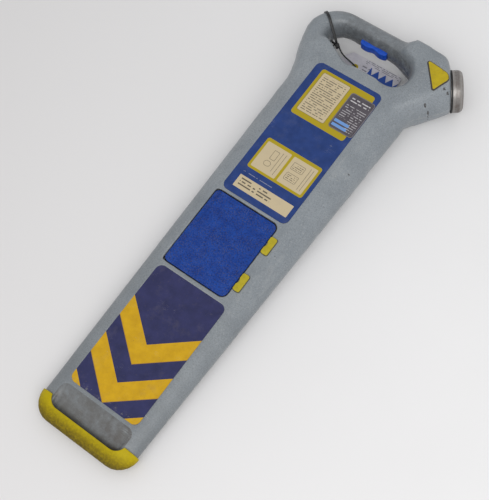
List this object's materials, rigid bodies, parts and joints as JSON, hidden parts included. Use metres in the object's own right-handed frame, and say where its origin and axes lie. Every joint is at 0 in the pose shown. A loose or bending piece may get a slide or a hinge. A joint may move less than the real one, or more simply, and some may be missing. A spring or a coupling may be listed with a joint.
{
  "type": "cable locator",
  "caption": "Hand-held cable locator: tapered two-shell blade with a carrying loop, finger trigger, latched battery door, rubber foot and an angled nose with a meter and knobs.",
  "frame": {"origin": "on the flat rear face, on the blade's centre line, 300 mm up from the foot end", "axes": "+Y along the blade from the foot to the head, +Z out of the front face, +X towards the nose"},
  "size_m": [0.2444, 0.6854, 0.0715],
  "materials": {
    "case_grey": "speckled moulded plastic, worn",
    "screw_steel": "zinc plated",
    "bumper_yellow": "matt, scuffed",
    "label_blue": "printed film with plain panels",
    "label_violet": "printed film with chevron stripes",
    "sticker_dark": "printed film",
    "sticker_yellow": "printed film with a dark border",
    "door_blue": "satin, scratched",
    "seal_black": "matt",
    "pin_steel": "bright",
    "latch_yellow": "satin",
    "tray_black": "moulded",
    "cell_jacket": "plain jacket with bright ends",
    "contact_metal": "nickel plated",
    "board_green": "solder mask",
    "board_black": "moulded packages",
    "ferrite": "sintered",
    "winding": "enamelled copper wire between flanges",
    "trigger_blue": "satin",
    "bezel_metal": "turned, dull",
    "face_black": "fine grain",
    "window_clear": "clear plastic pane",
    "dial_cream": "printed card with plain marks",
    "needle_red": "matt",
    "knob_yellow": "fluted",
    "knob_blue": "fluted",
    "pot_metal": "plated can",
    "speaker_black": "frame, cone and magnet",
    "tie_black": "nylon strap",
    "tag_white": "plastic card with plain lines",
    "eyelet_yellow": "rolled eyelet"
  },
  "bodies": {
    "case": {"front_shell": "case_grey", "rear_shell": "case_grey", "case_screws": "screw_steel", "foot_bumper": "bumper_yellow", "upper_label": "label_blue", "lower_label": "label_violet", "service_sticker": "sticker_dark", "triangle_sticker": "sticker_yellow", "door_gasket": "seal_black", "hinge_pin": "pin_steel", "battery_tray": "tray_black", "battery_cells": "cell_jacket", "battery_contacts": "contact_metal", "main_board": "board_green", "board_parts": "board_black", "lower_ferrite": "ferrite", "lower_coil": "winding", "upper_ferrite": "ferrite", "upper_coil": "winding", "coil_brackets": "tray_black", "trigger_switch": "tray_black", "nose_seal": "seal_black", "nose_bezel": "bezel_metal", "control_face": "face_black", "meter_window": "window_clear", "meter_dial": "dial_cream", "meter_movement": "tray_black", "sensitivity_pot": "pot_metal", "function_switch": "pot_metal", "loudspeaker": "speaker_black", "bar_tie": "tie_black", "tag_tie": "tie_black"},
    "door": {"battery_door": "door_blue"},
    "latch_upper": {"upper_latch": "latch_yellow"},
    "latch_lower": {"lower_latch": "latch_yellow"},
    "trigger_lever": {"trigger": "trigger_blue"},
    "needle": {"meter_needle": "needle_red"},
    "sensitivity_control": {"sensitivity_knob": "knob_yellow"},
    "function_control": {"function_knob": "knob_blue"},
    "tag": {"tag_card": "tag_white", "tag_eyelet": "eyelet_yellow"}
  },
  "joints": [
    {"name": "door_hinge", "type": "hinge", "parent": "case", "child": "door", "pos_m": [-0.0524, 0.00052, 0.04466], "axis": [0, -0.9979, -0.0651], "range_deg": [0, 95]},
    {"name": "upper_latch_slide", "type": "slide", "parent": "case", "child": "latch_upper", "axis": [1, 0, 0], "range_m": [0, 0.0035], "stiffness_N_per_m": 600, "springref_m": -0.001},
    {"name": "lower_latch_slide", "type": "slide", "parent": "case", "child": "latch_lower", "axis": [1, 0, 0], "range_m": [0, 0.0035], "stiffness_N_per_m": 600, "springref_m": -0.001},
    {"name": "trigger_slide", "type": "slide", "parent": "case", "child": "trigger_lever", "axis": [0, 0.9995, 0.0326], "range_m": [0, 0.004], "stiffness_N_per_m": 900, "springref_m": -0.002},
    {"name": "needle_turn", "type": "hinge", "parent": "case", "child": "needle", "pos_m": [0.10778, 0.35658, 0.03501], "axis": [0.8192, 0.5733, 0.0187], "range_deg": [-80, 0], "stiffness_Nm_per_rad": 0.0005},
    {"name": "sensitivity_turn", "type": "hinge", "parent": "case", "child": "sensitivity_control", "pos_m": [0.1146, 0.34653, 0.04429], "axis": [0.8192, 0.5733, 0.0187], "range_deg": [-140, 140]},
    {"name": "function_turn", "type": "hinge", "parent": "case", "child": "function_control", "pos_m": [0.1146, 0.34715, 0.0251], "axis": [0.8192, 0.5733, 0.0187], "range_deg": [-60, 60]},
    {"name": "tag_swing", "type": "hinge", "parent": "case", "child": "tag", "pos_m": [-0.032, 0.335, 0.0035], "axis": [0, 0, 1], "range_deg": [-3, 3]}
  ]
}
